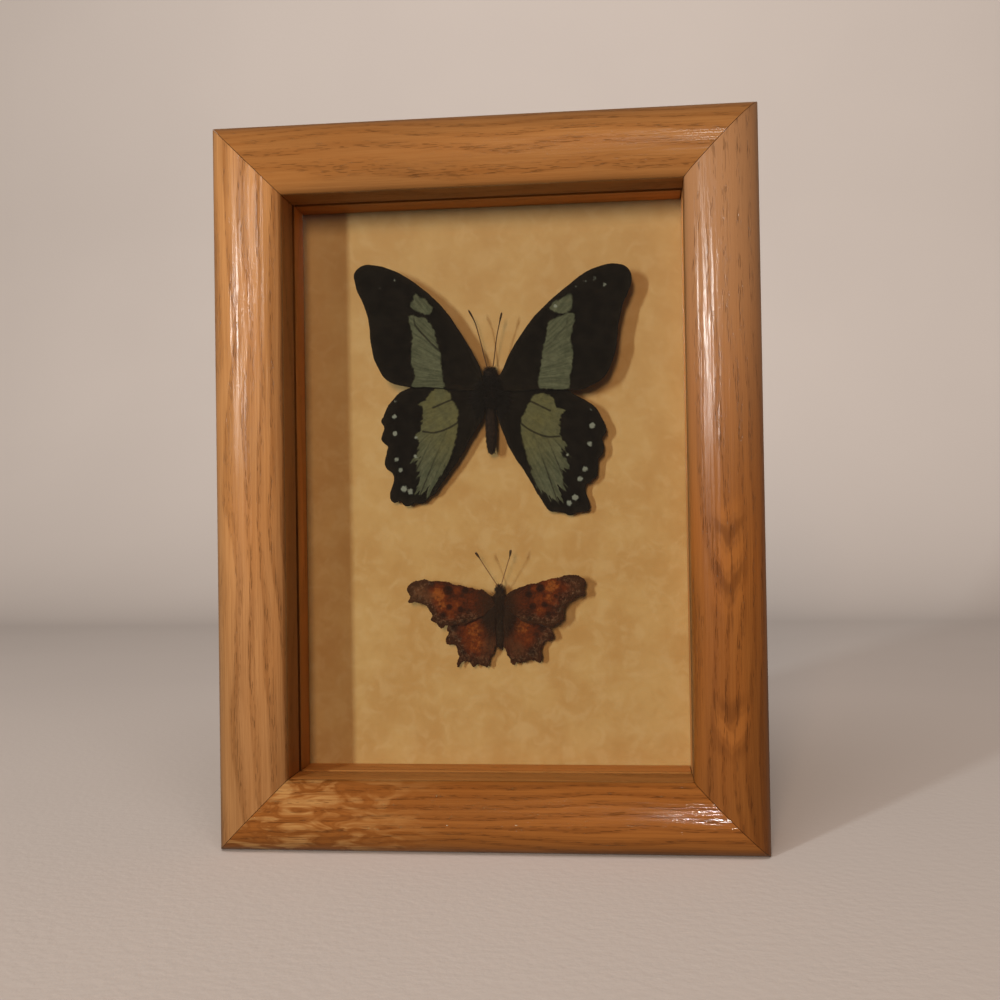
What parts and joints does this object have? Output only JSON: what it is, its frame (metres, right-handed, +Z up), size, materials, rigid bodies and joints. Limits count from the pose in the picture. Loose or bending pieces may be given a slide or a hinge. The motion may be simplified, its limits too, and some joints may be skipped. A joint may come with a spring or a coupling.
{
  "type": "framed butterfly specimen",
  "caption": "Oak shadow box that hangs on a wall, with a large dark swallowtail above a small ragged-winged orange butterfly, spread on cream paper behind glass.",
  "frame": {"origin": "middle of the flat underside of the bottom rail, half way through the frame's depth", "axes": "+Z up the frame's long side, +X to the right seen from the front, +Y from the front of the frame to the wall"},
  "size_m": [0.154, 0.0409, 0.206],
  "materials": {
    "oak": "honey-coloured oak under gloss lacquer",
    "glass": "clear float glass",
    "backing_paper": "mottled cream parchment paper, matt",
    "hardboard": "brown pressed fibreboard, matt",
    "steel": "zinc-plated steel",
    "swallowtail_wing": "brown-black wing scales with pale sage-green bands",
    "comma_wing": "orange-brown wing scales with dark spots and margins",
    "insect_body": "dark brown cuticle under fine hair",
    "glue": "dried clear adhesive"
  },
  "bodies": {
    "root": {"rail_left": "oak", "rail_top": "oak", "rail_right": "oak", "rail_bottom": "oak", "glass_pane": "glass", "spacer_left": "oak", "spacer_right": "oak", "spacer_bottom": "oak", "spacer_top": "oak", "backing_paper": "backing_paper", "backing_board": "hardboard", "glazing_point_top": "steel", "glazing_point_bottom": "steel", "glazing_point_left_upper": "steel", "glazing_point_left_lower": "steel", "glazing_point_right_upper": "steel", "glazing_point_right_lower": "steel", "sawtooth_hanger": "steel", "hanger_nail_left": "steel", "hanger_nail_right": "steel", "swallowtail_body": "insect_body", "swallowtail_forewing_left": "swallowtail_wing", "swallowtail_forewing_right": "swallowtail_wing", "swallowtail_hindwing_left": "swallowtail_wing", "swallowtail_hindwing_right": "swallowtail_wing", "swallowtail_antenna_left": "insect_body", "swallowtail_antenna_right": "insect_body", "swallowtail_glue": "glue", "comma_body": "insect_body", "comma_forewing_left": "comma_wing", "comma_forewing_right": "comma_wing", "comma_hindwing_left": "comma_wing", "comma_hindwing_right": "comma_wing", "comma_antenna_left": "insect_body", "comma_antenna_right": "insect_body", "comma_glue": "glue"}
  },
  "joints": []
}
